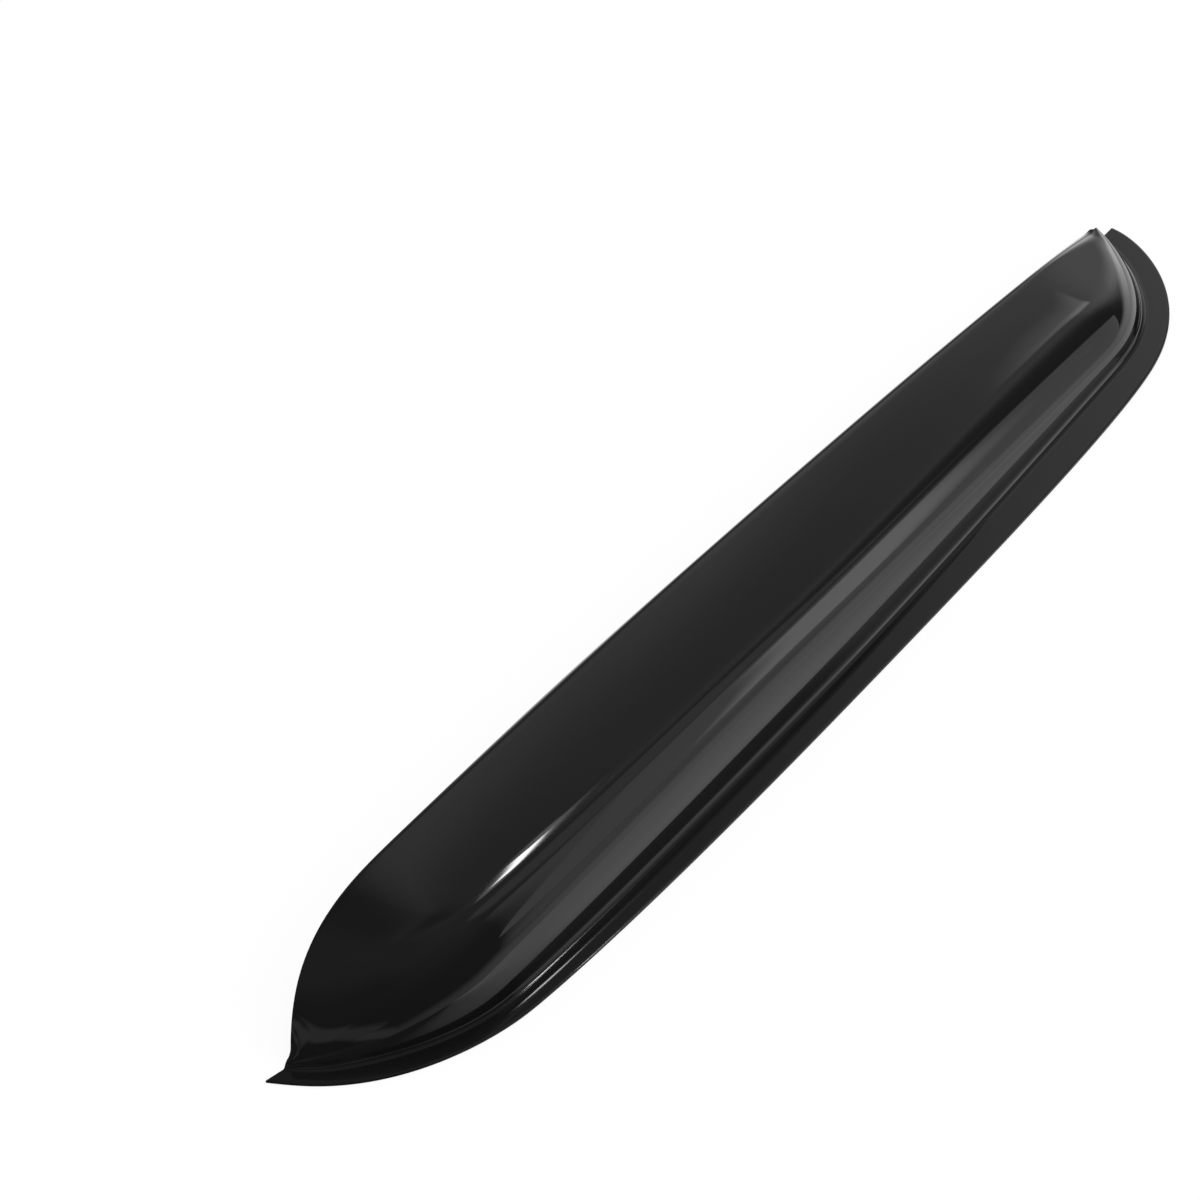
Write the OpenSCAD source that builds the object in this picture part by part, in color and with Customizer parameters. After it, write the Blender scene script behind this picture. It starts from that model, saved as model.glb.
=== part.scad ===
// Window rain deflector for a front side window, moulded as one bent sheet of acrylic.
// X runs along the piece from its low pointed end to its far end. The flat flange that is
// taped to the door frame is on the -Y side with its back on Z = 0, and the raised channel
// opens towards the +Y side, where the free edge is turned down into a small lip.

/* [Outline] */
// Length from tip to tip
body_length = 929; // [880:1:980]
// How far the rim bows out from the line between the tips
rim_bow = 103; // [97:1:112]
// Bow of the rim at the front corner
front_corner_bow = 92; // [84:1:95]
// Front corner's distance from the front tip
front_corner_run = 129.5; // [115:0.5:145]
// Bow of the rim at the rear corner
rear_corner_bow = 93.2; // [86:0.2:96]
// Rear corner's distance from the rear tip
rear_corner_run = 108.5; // [98:0.5:125]

/* [Flange] */
// Thickness of the sheet
sheet_t = 2; // [1.5:0.25:3]
// Flange width at the front tip
flange_front_tip = 14.6; // [10:0.2:20]
// How far the cut of the front end falls back towards the rim at the riser
front_cut_back = 2.8; // [0:0.2:5]
// Flange width at the front corner
flange_front = 15.3; // [12:0.1:20]
// Flange width in the middle
flange_mid = 20.3; // [16:0.1:24]
// Flange width at the rear corner
flange_rear = 20; // [15:0.1:24]
// Flange width at the rear tip
flange_rear_tip = 17.4; // [14:0.2:24]
// Leg of the fillet between flange and riser
fillet_leg = 4; // [2:0.5:6]

/* [Crease] */
// Height of the crease at the front corner
crease_front_h = 57.5; // [50:0.5:64]
// Height of the crease in the middle
crease_mid_h = 53.5; // [46:0.5:60]
// Height of the crease at the rear corner
crease_rear_h = 34.2; // [28:0.2:42]
// Height of the crease where it bends down to the rear end
crease_end_h = 18; // [15:0.2:21]
// How far the crease passes beyond the tip line at the front corner
crease_front_out = 18.4; // [12:0.2:24]
// How far the crease passes beyond the tip line in the middle
crease_mid_out = 10.9; // [5:0.1:16]
// How far the crease stays inside the tip line at the rear corner
crease_rear_in = 1.3; // [-3:0.1:5]
// How far the crease stays inside the tip line where it bends down to the rear end
crease_end_in = 1.6; // [0:0.1:4]
// Distance from the rear tip to that bend
crease_end_run = 31; // [28:0.5:36]
// Height of the free edge above the flange at the front tip
front_edge_rise = 5; // [3.5:0.1:8]
// Distance between the riser's foot and the free edge at the front tip
front_edge_gap = 5; // [3:0.2:8]
// Height of the free edge above the flange at the rear tip
rear_edge_rise = 14; // [12:0.2:15]
// Distance between the riser's foot and the free edge at the rear tip
rear_edge_gap = 4.8; // [3:0.2:6]

/* [Section] */
// Width of the rounded crown at the front tip
crown_tip_w = 60; // [40:1:90]
// Width of the rounded crown at the front corner
crown_front_w = 38; // [28:1:50]
// Width of the rounded crown in the middle
crown_mid_w = 29; // [22:1:40]
// Width of the rounded crown at the rear corner
crown_rear_w = 31; // [24:1:40]
// Width of the rounded crown at the rear tip
crown_end_w = 4; // [3:0.5:8]
// Rise of the face per length at the front corner
face_slope_front = 0.13; // [0.08:0.01:0.18]
// Rise of the face per length in the middle
face_slope_mid = 0.105; // [0.06:0.005:0.15]
// Rise of the face per length at the rear corner
face_slope_rear = 0.1; // [0.05:0.01:0.14]
// Rise of the face per length at both tips
face_slope_tip = 0.03; // [0:0.01:0.06]

/* [Lip] */
// Length of the turned-down lip in the middle
lip_mid = 7.3; // [4:0.1:10]
// Length of the turned-down lip at the rear corner
lip_rear = 10.5; // [6:0.5:14]
// Length of the edge beyond the crease at the front corner
lip_front = 1.8; // [1.4:0.1:4]
// Length of the edge beyond the crease at both tips
lip_tip = 1.4; // [1:0.1:2.5]
// Angle of the lip below the horizontal
lip_angle = 55; // [45:1:65]
// Leg of the rounding at the crease
crease_leg = 2.8; // [2:0.1:3.6]

/* [Hidden] */

// Number of strips along the length
ribs = 88;
// Steps across the fillet, the crown with the face, and the rounded crease
fillet_steps = 4;
face_steps = 14;
crease_steps = 4;
// How strongly the steps crowd towards the riser
crowding = 1.6;
// Share of the run on each side over which the direction of the foot is averaged
heading_reach = 0.03;

// Positions of the four stations with their own section, as shares of the run along the piece
STATIONS = [0, 0.25, 0.5, 0.75, 1];
CREASE_STATIONS = [0, 0.25, 0.5, 0.75, 0.9, 1];

// Curves: a knot is [point, direction, share of the span for the handle before it, same for the one after it]
function unit(v) = v / norm(v);
function turn(angle) = [cos(angle), sin(angle)];
function span(a, b) =
    let (s = norm(b[0] - a[0]))
    [a[0], a[0] + unit(a[1]) * a[3] * s, b[0] - unit(b[1]) * b[2] * s, b[0]];
function spans(knots) = [for (i = [0 : len(knots) - 2]) span(knots[i], knots[i + 1])];
// The speed along a curve has no jump at its knots: it is the mean of the two spans' own speeds there
function start_speed(c, stations, i) = norm(c[i][1] - c[i][0]) / (stations[i + 1] - stations[i]);
function end_speed(c, stations, i) = norm(c[i][3] - c[i][2]) / (stations[i + 1] - stations[i]);
function knot_speed(c, stations, i) =
    i == 0 ? start_speed(c, stations, 0) :
    i == len(c) ? end_speed(c, stations, i - 1) :
    sqrt(end_speed(c, stations, i - 1) * start_speed(c, stations, i));
function eased(c, stations, u, i) =
    let (
        t = share(stations, u, i),
        a = knot_speed(c, stations, i) / start_speed(c, stations, i),
        b = knot_speed(c, stations, i + 1) / end_speed(c, stations, i)
    )
    (a + b - 2) * pow(t, 3) + (3 - 2 * a - b) * t * t + a * t;
function cubic(p, t) =
    pow(1 - t, 3) * p[0] + 3 * pow(1 - t, 2) * t * p[1] + 3 * (1 - t) * t * t * p[2] + pow(t, 3) * p[3];
function piece_of(stations, u, i = 0) =
    i == len(stations) - 2 || u < stations[i + 1] ? i : piece_of(stations, u, i + 1);
function share(stations, u, i) = (u - stations[i]) / (stations[i + 1] - stations[i]);
function at(curve, stations, u) = let (i = piece_of(stations, u)) cubic(curve[i], eased(curve, stations, u, i));
// Mean direction over a short run on both sides, so that it turns without a jump in its rate
function heading(curve, stations, u) =
    unit(at(curve, stations, u + heading_reach) - at(curve, stations, u - heading_reach));

// Smooth change of one size from station to station
function slope_at(v, i) =
    let (j = max(i - 1, 0), k = min(i + 1, len(v) - 1)) (v[k] - v[j]) / (STATIONS[k] - STATIONS[j]);
function blend(v, u) =
    let (i = piece_of(STATIONS, u), t = share(STATIONS, u, i), h = STATIONS[i + 1] - STATIONS[i])
    (2 * pow(t, 3) - 3 * t * t + 1) * v[i] + (pow(t, 3) - 2 * t * t + t) * h * slope_at(v, i)
    + (3 * t * t - 2 * pow(t, 3)) * v[i + 1] + (pow(t, 3) - t * t) * h * slope_at(v, i + 1);

// Rim of the flange, seen from above
front_tip = [-body_length / 2, 0];
rear_tip = [body_length / 2, 0];
front_corner = [front_tip.x + front_corner_run, -front_corner_bow];
rear_corner = [rear_tip.x - rear_corner_run, -rear_corner_bow];
front_turn = -6.4;
rear_turn = 8.6;
RIM = spans([
    [front_tip, turn(-69.9), 0, 0.477],
    [front_corner, turn(front_turn), 0.146, 0.248],
    [[0, -rim_bow], turn(0), 0.297, 0.445],
    [rear_corner, turn(rear_turn), 0.174, 0.565],
    [rear_tip, turn(92.8), 0.141, 0]
]);

// Foot of the riser, one flange width inside the rim
foot_start = front_tip + [flange_front_tip, -front_cut_back];
foot_end = rear_tip - [flange_rear_tip, 0];
FOOT = spans([
    [foot_start, turn(-79.8), 0, 0.14],
    [front_corner + flange_front * turn(front_turn + 90), turn(-4), 0.413, 0.24],
    [[0, flange_mid - rim_bow], turn(0), 0.3, 0.284],
    [rear_corner + flange_rear * turn(rear_turn + 90), turn(2), 0.266, 0.5],
    [foot_end, turn(90), 0.127, 0]
]);

// Crease along the free edge, from the flange at the front tip to the flange at the rear tip
CREASE = spans([
    [[foot_start.x + front_edge_gap, foot_start.y, sheet_t + front_edge_rise], [0.365, 0, 1], 0, 0.202],
    [[front_corner.x + 10, crease_front_out, crease_front_h], [1, -0.03, 0.012], 0.68, 0.344],
    [[0, crease_mid_out, crease_mid_h], [1, -0.032, -0.037], 0.337, 0.327],
    [[rear_corner.x - 3, -crease_rear_in, crease_rear_h], [1, -0.04, -0.078], 0.327, 0.28],
    [[rear_tip.x - crease_end_run, -crease_end_in, crease_end_h], [1, -0.1, -0.24], 0.25, 0.33],
    [[foot_end.x - rear_edge_gap, 0, sheet_t + rear_edge_rise], [2.3, 0.1, -1], 0.3, 0]
]);

CROWN = [crown_tip_w, crown_front_w, crown_mid_w, crown_rear_w, crown_end_w];
FACE_SLOPE = [face_slope_tip, face_slope_front, face_slope_mid, face_slope_rear, face_slope_tip];
LIP = [lip_tip, lip_front, lip_mid, lip_rear, lip_tip];
LIP_TURN = [0, 0.4, 1, 1, 0.3];

// Section above the foot at angle w: a quarter ellipse of width a and height b on a slope m,
// which goes on as a straight face past 90 degrees
function run_of(w, a) = w <= 90 ? a * (1 - cos(w)) : a * (1 + (w - 90) * PI / 180);
function rise_of(w, a, b, m) = b * sin(min(w, 90)) + m * run_of(w, a);
function arc_step(w, a, b, m) =
    w <= 90 ? norm([a * sin(w), b * cos(w) + m * a * sin(w)]) : a * norm([1, m]);

// One rib of the outer face: points from the rim over the foot and the crown to the free edge
function rib(u) =
    let (
        foot = at(FOOT, STATIONS, u),
        ahead = heading(FOOT, STATIONS, u),
        inward = [-ahead.y, ahead.x],
        crest = at(CREASE, CREASE_STATIONS, u),
        across = [crest.x, crest.y] - foot,
        reach = across * inward,
        aside = across - reach * inward,
        a = blend(CROWN, u),
        m = blend(FACE_SLOPE, u),
        w_end = reach < a ? acos(1 - reach / a) : 90 + (reach / a - 1) * 180 / PI,
        b = (crest.z - sheet_t - m * reach) / sin(min(w_end, 90)),
        leg = min(fillet_leg, 0.35 * (crest.z - sheet_t)),
        w_start = asin(min(leg / b, 0.9)),
        lip = blend(LIP, u),
        round_leg = min(crease_leg, 0.55 * lip),
        w_round = w_end - round_leg / arc_step(w_end, a, b, m) * 180 / PI,
        top = function (w)
            let (g = run_of(w, a), p = foot + g * inward + pow(g / reach, 2) * aside)
            [p.x, p.y, sheet_t + rise_of(w, a, b, m)],
        fillet_start = [each (foot - leg * inward), sheet_t],
        corner = [each foot, sheet_t],
        riser_start = top(w_start),
        face_end = top(w_round),
        face_way = unit(crest - face_end),
        down = [0, cos(lip_angle), -sin(lip_angle)],
        q = min(blend(LIP_TURN, u), 1),
        lip_way = unit((1 - q) * face_way + q * down)
    )
    [
        [each at(RIM, STATIONS, u), sheet_t],
        for (k = [0 : fillet_steps - 1])
            arc_point(fillet_start, corner, riser_start, k / fillet_steps),
        for (k = [0 : face_steps - 1])
            top(w_start + (w_round - w_start) * pow(k / face_steps, crowding)),
        for (k = [0 : crease_steps])
            arc_point(face_end, crest, crest + round_leg * lip_way, k / crease_steps),
        crest + lip * lip_way
    ];
function arc_point(p, q, r, t) = pow(1 - t, 2) * p + 2 * (1 - t) * t * q + t * t * r;

OUTER = [for (i = [0 : ribs]) rib(i / ribs)];
rows = len(OUTER[0]);
// The rim and the row after it lie on the flange
FLAT_ROWS = 1;
function surface_normal(i, j) =
    j <= FLAT_ROWS ? [0, 0, 1] :
    unit(cross(OUTER[min(i + 1, ribs)][j] - OUTER[max(i - 1, 0)][j],
        OUTER[i][min(j + 1, rows - 1)] - OUTER[i][j - 1]));
INNER = [for (i = [0 : ribs]) [for (j = [0 : rows - 1]) OUTER[i][j] - sheet_t * surface_normal(i, j)]];

// The sheet: the outer and inner face with the rim, the free edge and the two cut ends between them
module deflector_shell() {
    points = [each for (r = OUTER) r, each for (r = INNER) r];
    inner_start = (ribs + 1) * rows;
    outer = function (i, j) i * rows + j;
    inner = function (i, j) inner_start + i * rows + j;
    faces = [
        for (i = [0 : ribs - 1], j = [0 : rows - 2]) each [
            [outer(i, j), outer(i, j + 1), outer(i + 1, j)],
            [outer(i, j + 1), outer(i + 1, j + 1), outer(i + 1, j)],
            [inner(i, j), inner(i + 1, j), inner(i, j + 1)],
            [inner(i, j + 1), inner(i + 1, j), inner(i + 1, j + 1)]
        ],
        for (i = [0 : ribs - 1], side = [0, 1]) each
            let (j = side * (rows - 1), p = outer(i, j), q = outer(i + 1, j), r = inner(i + 1, j), s = inner(i, j))
            side == 0 ? [[p, q, r], [p, r, s]] : [[q, p, s], [q, s, r]],
        for (j = [0 : rows - 2], side = [0, 1]) each
            let (i = side * ribs, p = outer(i, j), q = outer(i, j + 1), r = inner(i, j + 1), s = inner(i, j))
            side == 0 ? [[q, p, s], [q, s, r]] : [[p, q, r], [p, r, s]]
    ];
    y_values = [for (p = points) p.y];
    centre_y = (min(y_values) + max(y_values)) / 2;
    color("#101112") translate([0, -centre_y, 0]) polyhedron(points, faces);
}

deflector_shell();
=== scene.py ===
"""Window rain deflector in gloss black acrylic: the moulded sheet, its finish, the floor and the light."""

import math

import bpy
import numpy as np
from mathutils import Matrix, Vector


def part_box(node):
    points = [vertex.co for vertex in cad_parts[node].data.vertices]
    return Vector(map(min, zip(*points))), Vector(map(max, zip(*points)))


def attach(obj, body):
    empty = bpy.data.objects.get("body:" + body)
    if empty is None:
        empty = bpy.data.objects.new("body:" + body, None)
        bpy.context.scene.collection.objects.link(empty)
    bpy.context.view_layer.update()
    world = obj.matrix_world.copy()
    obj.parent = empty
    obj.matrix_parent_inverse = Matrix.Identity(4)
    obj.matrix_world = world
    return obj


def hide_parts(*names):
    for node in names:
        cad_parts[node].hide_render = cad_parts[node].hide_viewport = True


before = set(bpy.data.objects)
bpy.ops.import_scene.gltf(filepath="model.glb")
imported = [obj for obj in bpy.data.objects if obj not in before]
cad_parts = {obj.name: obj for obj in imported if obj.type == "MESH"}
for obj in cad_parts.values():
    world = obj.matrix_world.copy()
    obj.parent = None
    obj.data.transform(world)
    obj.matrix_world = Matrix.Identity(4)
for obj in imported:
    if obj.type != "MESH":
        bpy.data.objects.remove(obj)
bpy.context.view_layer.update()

MM = 0.001
NODE = "deflector_shell"
low, high = (Vector(c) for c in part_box(NODE))

# Sizes of the sheet in millimetres, as in the part's source
LENGTH = (high.x - low.x) / MM
RIM_BOW = 103.0
FRONT_CORNER = (129.5, 92.0)  # distance from the front tip, bow
REAR_CORNER = (108.5, 93.2)
SHEET = 2.0
FLANGE = {"front_tip": 14.6, "front": 15.3, "mid": 20.3, "rear": 20.0, "rear_tip": 17.4}
FRONT_CUT_BACK = 2.8
FILLET_LEG = 4.0
CREASE_HEIGHT = {"front": 57.5, "mid": 53.5, "rear": 34.2, "end": 18.0}
CREASE_OUT = {"front": 18.4, "mid": 10.9, "rear": -1.3, "end": -1.6}
CREASE_END_RUN = 31.0
FRONT_EDGE = (5.0, 5.0)  # distance from the foot, height above the flange
REAR_EDGE = (4.8, 14.0)
CROWN = [60.0, 38.0, 29.0, 31.0, 4.0]
FACE_SLOPE = [0.03, 0.13, 0.105, 0.1, 0.03]
HEADING_REACH = 0.03
EVENING = 60  # passes in which each rib is averaged with its neighbours
FACE_BOW = 0.035  # slope that the faint crown of the face adds at the riser and takes off at the crease
LIP = [1.4, 1.8, 7.3, 10.5, 1.4]
LIP_TURN = [0.0, 0.4, 1.0, 1.0, 0.3]
LIP_ANGLE = math.radians(55)
CREASE_LEG = 2.8
EDGE_ROUND = 0.6
STATIONS = [0.0, 0.25, 0.5, 0.75, 1.0]
CREASE_STATIONS = [0.0, 0.25, 0.5, 0.75, 0.9, 1.0]

# Studio: brightness of the surroundings in reflections, where 1 is white; angles in degrees from +X towards +Y
PANELS = [  # (azimuth, strength) and (elevation, share) of each wide panel
    # ceiling
    ([
        (-180, 0.3), (-150, 0.3), (-128, 0.3), (-115, 0.45), (-90, 0.6), (-60, 0.75), (-35, 1), (0, 1),
        (12, 0), (100, 0), (150, 0.3), (180, 0.3)
    ], [
        (0, 0.06), (35, 0.08), (45, 0.14), (55, 0.2), (66, 0.14), (78, 0), (90, 0)
    ]),
    # overhead
    ([
        (-180, 1), (180, 1)
    ], [
        (0, 0), (58, 0), (75, 0.14), (90, 0.17)
    ]),
    # low strip on the left
    ([
        (-180, 0.1), (-165, 0.15), (-150, 0.12), (-126, 0.05), (-116, 0.05), (-112, 0.25),
        (-100, 0.33), (-80, 0.45), (-62, 0.58), (-58, 0.65), (-54, 0.95), (-46, 1.1), (-38, 1.15),
        (-33, 0), (150, 0), (180, 0.1)
    ], [
        (0, 1), (5, 1), (12, 0), (90, 0)
    ]),
    # low strip on the right
    ([
        (-180, 0), (-38, 0), (-33, 1.2), (-5, 1.2), (4, 1.4), (10, 1.7), (26, 1.8), (30.5, 0.8),
        (33, 0.3), (60, 0.3), (90, 0), (180, 0)
    ], [
        (0, 1), (7, 1), (12, 0), (90, 0)
    ]),
    # bright low corner beyond the far end
    ([
        (-180, 0), (4, 0), (12, 0.7), (25, 1.3), (30, 0.6), (33, 0.1), (60, 0.1), (90, 0), (180, 0)
    ], [
        (0, 1), (13, 1), (19, 0), (90, 0)
    ]),
    # far wall
    ([
        (-180, 0), (-12, 0), (-5, 0.07), (0, 0.3), (5, 0.62), (9, 0.72), (16, 0.6), (20, 0.5),
        (22, 0.56), (23, 0.75), (25, 1.05), (28, 1.0), (30, 0.7), (32, 0.45), (34, 0.28), (37, 0.2),
        (60, 0.2), (100, 0.1), (180, 0)
    ], [
        (0, 0.8), (20, 1.1), (30, 1.05), (36, 1), (39, 0.68), (42, 0.52), (48, 0.5), (52, 0.38),
        (58, 0.17), (70, 0.1), (78, 0), (90, 0)
    ]),
]
SOFT_BOXES = [  # azimuth, elevation, half width, half height, lean, soft edge, strength
    (-39.3, 25.9, 6.4, 14.4, 33, 4.2, 2.05),  # main soft box
    (-37.5, 22.4, 14, 14.7, 46, 0.4, 0.8),  # panel round it
    (-44, 24, 12.2, 23.4, 25, 6.6, 0.67),  # a dimmer panel on its left
    (-23.7, 47.5, 10.5, 10.9, 22, 5.8, 0.48),  # panel above them
    (8.8, 53.4, 4.2, 0.5, 20, 0.4, 26),  # lamp
    (7.9, 53.5, 7.4, 1.2, 22, 1.1, 1.7),  # haze round the lamp
    (15.85, 33.4, 4.4, 6.8, -3, 4.3, 2.0),  # small box beyond the far end
    (-117.5, 10, 5.4, 15, -33, 4.3, 0.35),  # arched band beyond the near end, first of five pieces
    (-128.7, 28.6, 6.5, 14, -38, 4.5, 0.31),  # its second piece
    (-147.4, 39, 13.8, 8.5, 16, 5, 0.34),  # its third piece
    (-170, 35.7, 12.8, 5, -30, 4.4, 0.36),  # its fourth piece
    (173.5, 23, 8, 4.8, -41, 4, 0.34),  # its fifth piece
]

# Floor
FLOOR_REACH = 12.0  # metres from the middle to each side
# The floor's brightness in reflections is painted light and shade, graded along the object
FLOOR_STRENGTH = [  # place along the object in metres, brightness in reflections
    (-0.5, 0.05), (-0.418, 0.05), (-0.4, 0.2), (-0.385, 0.36), (-0.35, 0.5), (-0.32, 0.65),
    (-0.3, 0.75), (-0.25, 1.02), (-0.2, 1.1), (0.0, 1.15), (0.2, 1.12), (0.33, 1.1), (0.38, 1.25),
    (0.42, 1.35), (0.48, 1.35), (0.62, 1.1),
]
FLOOR_BASE = 0.14  # share of the white that takes shadow
FLOOR_GLOW = 0.87  # share of the white that doesn't
# Painted contact shadow: the floor's glow in reflections is darkened by ambient occlusion near the object
PAINTED_SHADOW_REACH = 0.04  # metres within which the object darkens the floor in reflections
PAINTED_SHADOW_POWER = 5
PAINTED_SHADOW_SAMPLES = 2

# Camera: a long lens from the front left, at the photograph's angle
CAMERA_PLACE = (-3.2013, -1.9881, 3.2802)
CAMERA_WAY = (0.6333, 0.4176, -0.6516)
CAMERA_LENS = 251.88
CAMERA_SENSOR = 36
CAMERA_CLIP_END = 50

# Fineness of the visible mesh
RIBS = 420
FLAT_ROWS = 4  # rows of the outer face that lie on the flange
FILLET_STEPS = 8
FACE_STEPS = 44
CREASE_STEPS = 8
CROWDING = 1.5  # above 1, the rows of the face lie closer together towards the foot
EDGE_STEPS = (0, 0.33, 0.67, 1)
SHARP_ANGLE = math.radians(40)


def unit(v):
    v = np.asarray(v, float)
    return v / np.linalg.norm(v)


def turn(degrees):
    """Direction in plan, from +X towards +Y."""
    return np.array([math.cos(math.radians(degrees)), math.sin(math.radians(degrees))])


def spans(knots):
    """Curve through knots: point, direction, share of the span for the handle before the knot and after it."""
    out = []
    for (p, way_p, _, after), (q, way_q, before, _) in zip(knots, knots[1:]):
        p, q = np.asarray(p, float), np.asarray(q, float)
        s = np.linalg.norm(q - p)
        out.append((p, p + unit(way_p) * after * s, q - unit(way_q) * before * s, q))
    return out


def locate(stations, u):
    """Span in which u lies, and its share of that span."""
    i = int(np.clip(np.searchsorted(stations, u, side="right") - 1, 0, len(stations) - 2))
    return i, (u - stations[i]) / (stations[i + 1] - stations[i])


def eased(curve, stations, u):
    """Span and share of it at u, at a speed along the curve that has no jump at the knots."""
    i, t = locate(stations, u)

    def speed(k, first, second):
        return np.linalg.norm(curve[k][second] - curve[k][first]) / (stations[k + 1] - stations[k])

    start, end = speed(i, 0, 1), speed(i, 2, 3)
    a = math.sqrt(speed(i - 1, 2, 3) / start) if i > 0 else 1
    b = math.sqrt(speed(i + 1, 0, 1) / end) if i < len(curve) - 1 else 1
    return i, (a + b - 2) * t**3 + (3 - 2 * a - b) * t * t + a * t


def at(curve, stations, u):
    """Point of a curve at u."""
    i, t = eased(curve, stations, u)
    a, b, c, d = curve[i]
    return (1 - t) ** 3 * a + 3 * (1 - t) ** 2 * t * b + 3 * (1 - t) * t * t * c + t**3 * d


def heading(curve, stations, u):
    """Mean direction over a short run on both sides, so that it turns without a jump in its rate."""
    return unit(at(curve, stations, u + HEADING_REACH) - at(curve, stations, u - HEADING_REACH))


def blend(values, u):
    """Smooth change of one size from station to station."""
    i, t = locate(STATIONS, u)
    step = STATIONS[i + 1] - STATIONS[i]
    slope = np.gradient(values, STATIONS)
    return (
        (2 * t**3 - 3 * t * t + 1) * values[i]
        + (t**3 - 2 * t * t + t) * step * slope[i]
        + (3 * t * t - 2 * t**3) * values[i + 1]
        + (t**3 - t * t) * step * slope[i + 1]
    )


def outline_curves():
    """Rim, foot of the riser and crease, seen from above with the flange towards -Y."""
    front, rear = np.array([-LENGTH / 2, 0]), np.array([LENGTH / 2, 0])
    front_corner = np.array([front[0] + FRONT_CORNER[0], -FRONT_CORNER[1]])
    rear_corner = np.array([rear[0] - REAR_CORNER[0], -REAR_CORNER[1]])
    front_turn, rear_turn = -6.4, 8.6
    rim = spans([
        (front, turn(-69.9), 0, 0.477),
        (front_corner, turn(front_turn), 0.146, 0.248),
        ((0, -RIM_BOW), turn(0), 0.297, 0.445),
        (rear_corner, turn(rear_turn), 0.174, 0.565),
        (rear, turn(92.8), 0.141, 0),
    ])
    start, end = front + [FLANGE["front_tip"], -FRONT_CUT_BACK], rear - [FLANGE["rear_tip"], 0]
    foot = spans([
        (start, turn(-79.8), 0, 0.14),
        (front_corner + FLANGE["front"] * turn(front_turn + 90), turn(-4), 0.413, 0.24),
        ((0, FLANGE["mid"] - RIM_BOW), turn(0), 0.3, 0.284),
        (rear_corner + FLANGE["rear"] * turn(rear_turn + 90), turn(2), 0.266, 0.5),
        (end, turn(90), 0.127, 0),
    ])
    h, out = CREASE_HEIGHT, CREASE_OUT
    crease = spans([
        ((start[0] + FRONT_EDGE[0], start[1], SHEET + FRONT_EDGE[1]), (0.365, 0, 1), 0, 0.202),
        ((front_corner[0] + 10, out["front"], h["front"]), (1, -0.03, 0.012), 0.68, 0.344),
        ((0, out["mid"], h["mid"]), (1, -0.032, -0.037), 0.337, 0.327),
        ((rear_corner[0] - 3, out["rear"], h["rear"]), (1, -0.04, -0.078), 0.327, 0.28),
        ((rear[0] - CREASE_END_RUN, out["end"], h["end"]), (1, -0.1, -0.24), 0.25, 0.33),
        ((end[0] - REAR_EDGE[0], 0, SHEET + REAR_EDGE[1]), (2.3, 0.1, -1), 0.3, 0),
    ])
    return rim, foot, crease


def bend(p, q, r, steps):
    """Points that round the corner q between p and r."""
    t = np.linspace(0, 1, steps + 1)[:, None]
    return (1 - t) ** 2 * p + 2 * (1 - t) * t * q + t * t * r


def rib(u, rim, foot_curve, crease):
    """One rib of the outer face, from the rim over the foot and the crown to the free edge."""
    foot = at(foot_curve, STATIONS, u)
    ahead = heading(foot_curve, STATIONS, u)
    inward = np.array([-ahead[1], ahead[0]])
    crest = at(crease, CREASE_STATIONS, u)
    across = crest[:2] - foot
    reach = across @ inward
    aside = across - reach * inward
    a, m = blend(CROWN, u), blend(FACE_SLOPE, u)
    w_end = math.acos(1 - reach / a) if reach < a else math.pi / 2 + reach / a - 1
    b = (crest[2] - SHEET - m * reach) / math.sin(min(w_end, math.pi / 2))
    leg = min(FILLET_LEG, 0.35 * (crest[2] - SHEET))
    w_start = math.asin(min(leg / b, 0.9))
    lip = blend(LIP, u)
    round_leg = min(CREASE_LEG, 0.55 * lip)

    def top(w):
        w = np.atleast_1d(w)
        run = np.where(w <= math.pi / 2, a * (1 - np.cos(w)), a * (1 + w - math.pi / 2))
        rise = b * np.sin(np.minimum(w, math.pi / 2)) + m * run + FACE_BOW * run * (1 - run / reach)
        plan = foot + run[:, None] * inward + ((run / reach) ** 2)[:, None] * aside
        return np.column_stack([plan, SHEET + rise])

    if w_end <= math.pi / 2:
        speed = math.hypot(a * math.sin(w_end), b * math.cos(w_end) + m * a * math.sin(w_end))
    else:
        speed = a * math.hypot(1, m)
    w_round = w_end - round_leg / speed
    steps = np.linspace(0, 1, FACE_STEPS + 1) ** CROWDING
    face = top(w_start + (w_round - w_start) * steps)
    face_way = unit(crest - face[-1])
    down = np.array([0, math.cos(LIP_ANGLE), -math.sin(LIP_ANGLE)])
    q = min(blend(LIP_TURN, u), 1)
    lip_way = unit((1 - q) * face_way + q * down)
    edge = crest + lip * lip_way
    rim_point = np.append(at(rim, STATIONS, u), SHEET)
    fillet_start = np.append(foot - leg * inward, SHEET)
    return np.vstack([
        rim_point,
        rim_point + (fillet_start - rim_point) * [[0.1], [0.9]],
        bend(fillet_start, np.append(foot, SHEET), face[0], FILLET_STEPS)[:-1],
        face[:-1],
        bend(face[-1], crest, crest + round_leg * lip_way, CREASE_STEPS),
        crest + round_leg * lip_way + (edge - crest - round_leg * lip_way) * 0.6,
        edge,
    ])


def evened(outer):
    """The ribs averaged with their neighbours, so that the corners start to bend gradually; the end ribs stay."""
    outer = outer.copy()
    for _ in range(EVENING):
        outer[1:-1] = (outer[:-2] + 2 * outer[1:-1] + outer[2:]) / 4
    return outer


def normals_of(outer):
    """Direction out of the sheet at each point of the outer face."""
    along = np.gradient(outer, axis=0)
    over = np.gradient(outer, axis=1)
    n = np.cross(along, over)
    n /= np.linalg.norm(n, axis=2, keepdims=True)
    n[:, :FLAT_ROWS] = (0, 0, 1)
    return n


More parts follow.
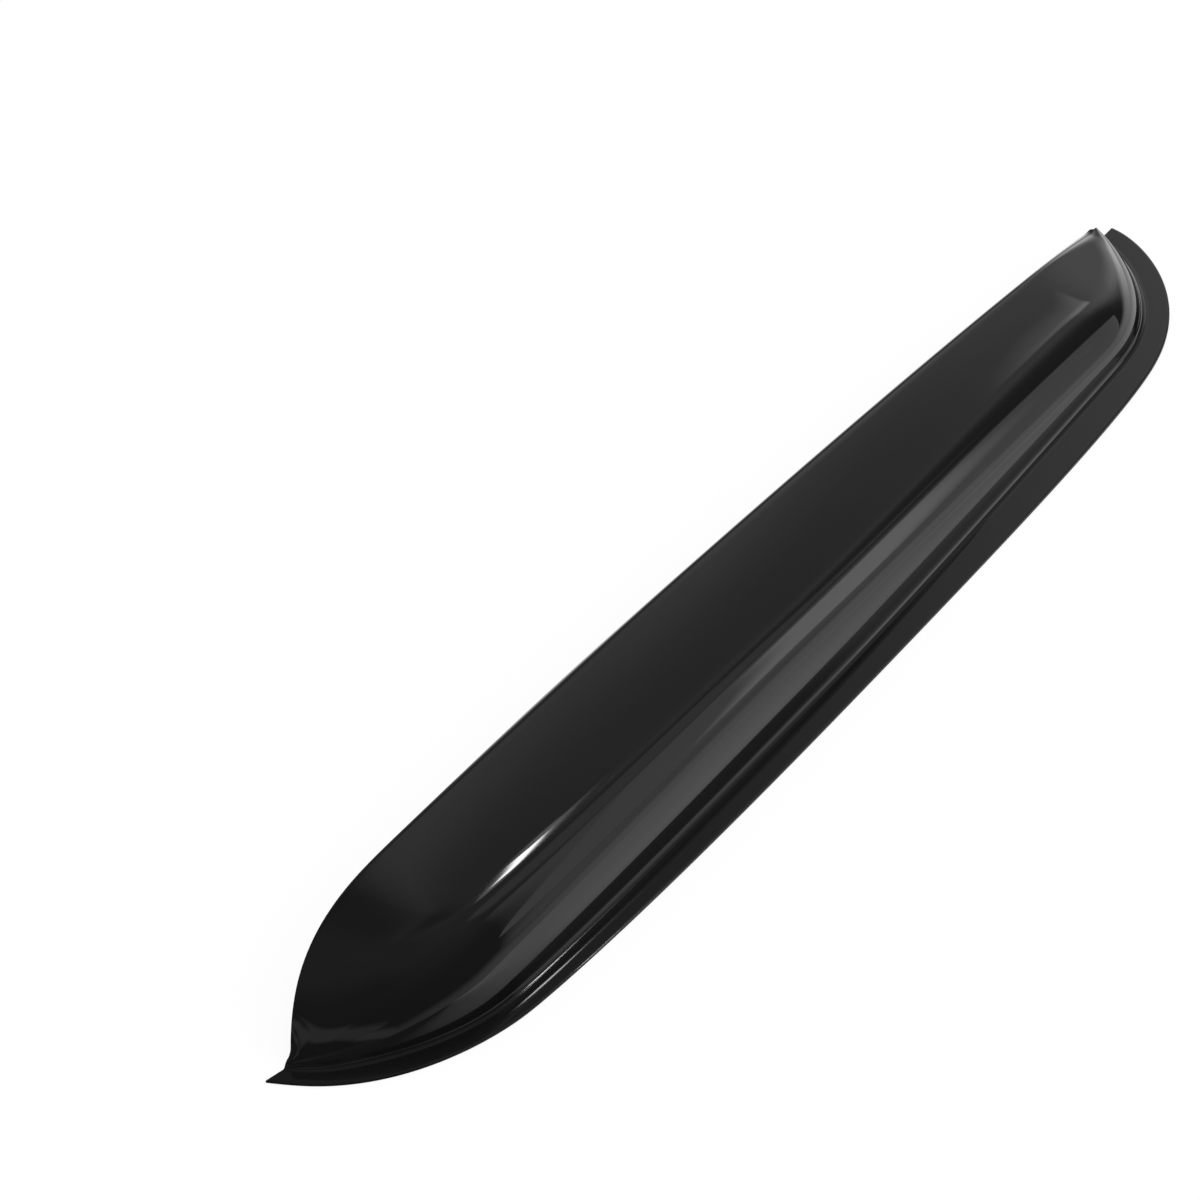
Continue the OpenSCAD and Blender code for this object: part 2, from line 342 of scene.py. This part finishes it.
def round_edges(face, normal, side):
    """The face with its first and last row rounded into the sheet's cut edge; side is 1 on the outer face."""
    rows = []
    for corner, nxt, n in ((face[:, 0], face[:, 1], normal[:, 0]), (face[:, -1], face[:, -2], normal[:, -1])):
        way = nxt - corner
        way /= np.linalg.norm(way, axis=1, keepdims=True)
        wall, flat = corner - side * EDGE_ROUND * n, corner + EDGE_ROUND * way
        rows.append([(1 - t) ** 2 * wall + 2 * (1 - t) * t * corner + t * t * flat for t in EDGE_STEPS])
    first = np.stack(rows[0], axis=1)
    last = np.stack(rows[1][::-1], axis=1)
    return np.concatenate([first, face[:, 1:-1], last], axis=1)


def sheet_mesh():
    """The moulded sheet as a fine quad mesh: outer face, inner face, rim, free edge and the two cut ends."""
    curves = outline_curves()
    outer = evened(np.stack([rib(u, *curves) for u in np.linspace(0, 1, RIBS + 1)]))
    normal = normals_of(outer)
    inner = outer - SHEET * normal
    outer, inner = round_edges(outer, normal, 1), round_edges(inner, normal, -1)
    loop = np.concatenate([outer, inner[:, ::-1]], axis=1)
    count, half = loop.shape[1], outer.shape[1]
    points = loop.reshape(-1, 3)
    y_low, y_high = points[:, 1].min(), points[:, 1].max()
    points[:, 1] -= (y_low + y_high) / 2
    points += [(low.x + high.x) / 2 / MM, (low.y + high.y) / 2 / MM, low.z / MM]
    faces = []
    for i in range(RIBS):
        for j in range(count):
            k = (j + 1) % count
            faces.append((i * count + j, i * count + k, (i + 1) * count + k, (i + 1) * count + j))
    for i, flip in ((0, True), (RIBS, False)):
        for j in range(half - 1):
            quad = (i * count + j, i * count + j + 1, i * count + count - 2 - j, i * count + count - 1 - j)
            faces.append(quad[::-1] if flip else quad)
    mesh = bpy.data.meshes.new("rain_deflector")
    mesh.from_pydata((points * MM).tolist(), [], [f[::-1] for f in faces])
    mesh.validate()
    mesh.shade_smooth()
    mesh.set_sharp_from_angle(angle=SHARP_ANGLE)
    return mesh


def gloss_acrylic():
    """Polished black acrylic: a deep gloss with the faint unevenness and haze of a moulded sheet."""
    material = bpy.data.materials.new("gloss_acrylic")
    material.use_nodes = True
    nodes, links = material.node_tree.nodes, material.node_tree.links
    shader = nodes["Principled BSDF"]
    shader.inputs["Base Color"].default_value = (0.006, 0.006, 0.0065, 1)
    shader.inputs["IOR"].default_value = 1.49
    place = nodes.new("ShaderNodeTexCoord")
    haze = nodes.new("ShaderNodeTexNoise")
    haze.inputs["Scale"].default_value = 14
    haze.inputs["Detail"].default_value = 5
    gloss = nodes.new("ShaderNodeMapRange")
    gloss.inputs["From Min"].default_value = 0.3
    gloss.inputs["From Max"].default_value = 0.7
    gloss.inputs["To Min"].default_value = 0.02
    gloss.inputs["To Max"].default_value = 0.04
    links.new(place.outputs["Object"], haze.inputs["Vector"])
    links.new(haze.outputs["Fac"], gloss.inputs["Value"])
    links.new(gloss.outputs["Result"], shader.inputs["Roughness"])
    ripple = nodes.new("ShaderNodeTexNoise")
    ripple.inputs["Scale"].default_value = 22
    ripple.inputs["Detail"].default_value = 1
    bump = nodes.new("ShaderNodeBump")
    bump.inputs["Strength"].default_value = 0.12
    bump.inputs["Distance"].default_value = 0.0001
    links.new(place.outputs["Object"], ripple.inputs["Vector"])
    links.new(ripple.outputs["Fac"], bump.inputs["Height"])
    links.new(bump.outputs["Normal"], shader.inputs["Normal"])
    return material


shell = bpy.data.objects.new("rain_deflector", sheet_mesh())
bpy.context.collection.objects.link(shell)
shell.data.materials.append(gloss_acrylic())
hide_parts(NODE)
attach(shell, "root")


def number(tree, operation, *values):
    """Math node; a value is a number or the output of a node."""
    node = tree.nodes.new("ShaderNodeMath")
    node.operation = operation
    for socket, value in zip(node.inputs, values):
        if isinstance(value, (int, float)):
            socket.default_value = value
        else:
            tree.links.new(value, socket)
    return node.outputs[0]


def along(tree, direction, axis):
    """Share of a direction that lies along an axis."""
    node = tree.nodes.new("ShaderNodeVectorMath")
    node.operation = "DOT_PRODUCT"
    tree.links.new(direction, node.inputs[0])
    node.inputs[1].default_value = tuple(axis)
    return node.outputs["Value"]


def fade(tree, value, start, end):
    """1 up to start, 0 from end on, with a smooth step between."""
    node = tree.nodes.new("ShaderNodeMapRange")
    node.interpolation_type = "SMOOTHSTEP"
    node.inputs["From Min"].default_value = start
    node.inputs["From Max"].default_value = end
    node.inputs["To Min"].default_value = 1
    node.inputs["To Max"].default_value = 0
    tree.links.new(value, node.inputs["Value"])
    return node.outputs["Result"]


def table(tree, value, stops):
    """Strength looked up in a table of (place, strength) with straight lines between the stops."""
    first, last = stops[0][0], stops[-1][0]
    top = max(strength for _, strength in stops)
    place = number(tree, "MULTIPLY", number(tree, "SUBTRACT", value, first), 1 / (last - first))
    node = tree.nodes.new("ShaderNodeValToRGB")
    points = node.color_ramp.elements
    while len(points) < len(stops):
        points.new(0.5)
    for point, (where, strength) in zip(points, stops):
        point.position = (where - first) / (last - first)
        point.color = (strength / top, strength / top, strength / top, 1)
    tree.links.new(place, node.inputs["Fac"])
    return number(tree, "MULTIPLY", node.outputs["Color"], top)


def glow(tree, kind, strength):
    """White light of the given strength, from an emission or a background node."""
    node = tree.nodes.new(kind)
    node.inputs["Color"].default_value = (1, 1, 1, 1)
    if isinstance(strength, (int, float)):
        node.inputs["Strength"].default_value = strength
    else:
        tree.links.new(strength, node.inputs["Strength"])
    return node.outputs[0]


def glossy_switch(tree, plain, mirrored):
    """One shader for reflections and another for everything else."""
    path = tree.nodes.new("ShaderNodeLightPath")
    mix = tree.nodes.new("ShaderNodeMixShader")
    tree.links.new(path.outputs["Is Glossy Ray"], mix.inputs["Fac"])
    tree.links.new(plain, mix.inputs[1])
    tree.links.new(mirrored, mix.inputs[2])
    return mix.outputs[0]


def add_floor():
    """A white studio sweep: white to the camera, with a soft contact shadow, and in reflections a glow with painted
    light and shade graded along the object and a painted contact shadow near it.
    """
    mesh = bpy.data.meshes.new("floor")
    r = FLOOR_REACH
    mesh.from_pydata([(-r, -r, 0), (r, -r, 0), (r, r, 0), (-r, r, 0)], [], [(0, 1, 2, 3)])
    floor = bpy.data.objects.new("floor", mesh)
    bpy.context.collection.objects.link(floor)
    material = bpy.data.materials.new("white_floor")
    material.use_nodes = True
    tree = material.node_tree
    shader = tree.nodes["Principled BSDF"]
    shader.inputs["Base Color"].default_value = (FLOOR_BASE, FLOOR_BASE, FLOOR_BASE, 1)
    shader.inputs["Roughness"].default_value = 1
    shader.inputs["Specular IOR Level"].default_value = 0
    place = tree.nodes.new("ShaderNodeTexCoord")
    split = tree.nodes.new("ShaderNodeSeparateXYZ")
    tree.links.new(place.outputs["Object"], split.inputs[0])
    # painted light and shade: the floor's glow in reflections, graded along X
    mirrored = table(tree, split.outputs["X"], FLOOR_STRENGTH)
    # painted contact shadow: the reflected glow darkened near the object
    contact = tree.nodes.new("ShaderNodeAmbientOcclusion")
    contact.inputs["Distance"].default_value = PAINTED_SHADOW_REACH
    contact.samples = PAINTED_SHADOW_SAMPLES
    mirrored = number(tree, "MULTIPLY", mirrored, number(tree, "POWER", contact.outputs["AO"], PAINTED_SHADOW_POWER))
    both = tree.nodes.new("ShaderNodeAddShader")
    tree.links.new(shader.outputs[0], both.inputs[0])
    tree.links.new(glow(tree, "ShaderNodeEmission", FLOOR_GLOW), both.inputs[1])
    result = glossy_switch(tree, both.outputs[0], glow(tree, "ShaderNodeEmission", mirrored))
    tree.links.new(result, tree.nodes["Material Output"].inputs["Surface"])
    floor.data.materials.append(material)


def soft_box(tree, direction, azimuth, elevation, half_width, half_height, lean, edge, strength):
    """Brightness of a soft box far away; sizes in degrees, leaning clockwise as seen from the object."""
    azimuth, elevation, lean = (math.radians(v) for v in (azimuth, elevation, lean))
    centre = np.array([
        math.cos(elevation) * math.cos(azimuth), math.cos(elevation) * math.sin(azimuth), math.sin(elevation)])
    side = unit(np.cross((0, 0, 1), centre))
    up = np.cross(centre, side)
    ahead = along(tree, direction, centre)
    in_front = number(tree, "GREATER_THAN", ahead, 0.01)
    masks = []
    for axis, half in (
        (math.cos(lean) * side - math.sin(lean) * up, half_width),
        (math.sin(lean) * side + math.cos(lean) * up, half_height),
    ):
        offset = number(tree, "ABSOLUTE", number(tree, "DIVIDE", along(tree, direction, axis), ahead))
        reach, soft = math.tan(math.radians(half)), math.tan(math.radians(edge))
        masks.append(fade(tree, offset, reach - soft, reach))
    mask = number(tree, "MULTIPLY", number(tree, "MULTIPLY", *masks), in_front)
    return number(tree, "MULTIPLY", mask, strength)


def add_world():
    """White to the camera, even light for matt surfaces, and a studio of soft boxes in reflections."""
    world = bpy.data.worlds.new("studio")
    bpy.context.scene.world = world
    world.use_nodes = True
    tree = world.node_tree
    place = tree.nodes.new("ShaderNodeTexCoord")
    direction = place.outputs["Generated"]
    split = tree.nodes.new("ShaderNodeSeparateXYZ")
    tree.links.new(direction, split.inputs[0])
    degrees = 180 / math.pi
    elevation = number(tree, "MULTIPLY", number(tree, "ARCSINE", split.outputs["Z"]), degrees)
    turned = number(tree, "ARCTAN2", split.outputs["Y"], split.outputs["X"])
    azimuth = number(tree, "MULTIPLY", turned, degrees)
    studio = 0.0
    for sideways, upwards in PANELS:
        panel = number(tree, "MULTIPLY", table(tree, azimuth, sideways), table(tree, elevation, upwards))
        studio = number(tree, "ADD", studio, panel)
    for box in SOFT_BOXES:
        studio = number(tree, "MAXIMUM", studio, soft_box(tree, direction, *box))
    result = glossy_switch(tree, glow(tree, "ShaderNodeBackground", 1.0), glow(tree, "ShaderNodeBackground", studio))
    tree.links.new(result, tree.nodes["World Output"].inputs["Surface"])


def add_camera():
    data = bpy.data.cameras.new("camera")
    data.sensor_width = CAMERA_SENSOR
    data.lens = CAMERA_LENS
    data.clip_end = CAMERA_CLIP_END
    camera = bpy.data.objects.new("camera", data)
    bpy.context.collection.objects.link(camera)
    camera.location = CAMERA_PLACE
    camera.rotation_euler = Vector(CAMERA_WAY).to_track_quat("-Z", "Y").to_euler()
    bpy.context.scene.camera = camera


add_floor()
add_world()
add_camera()
bpy.context.scene.view_settings.view_transform = "Standard"
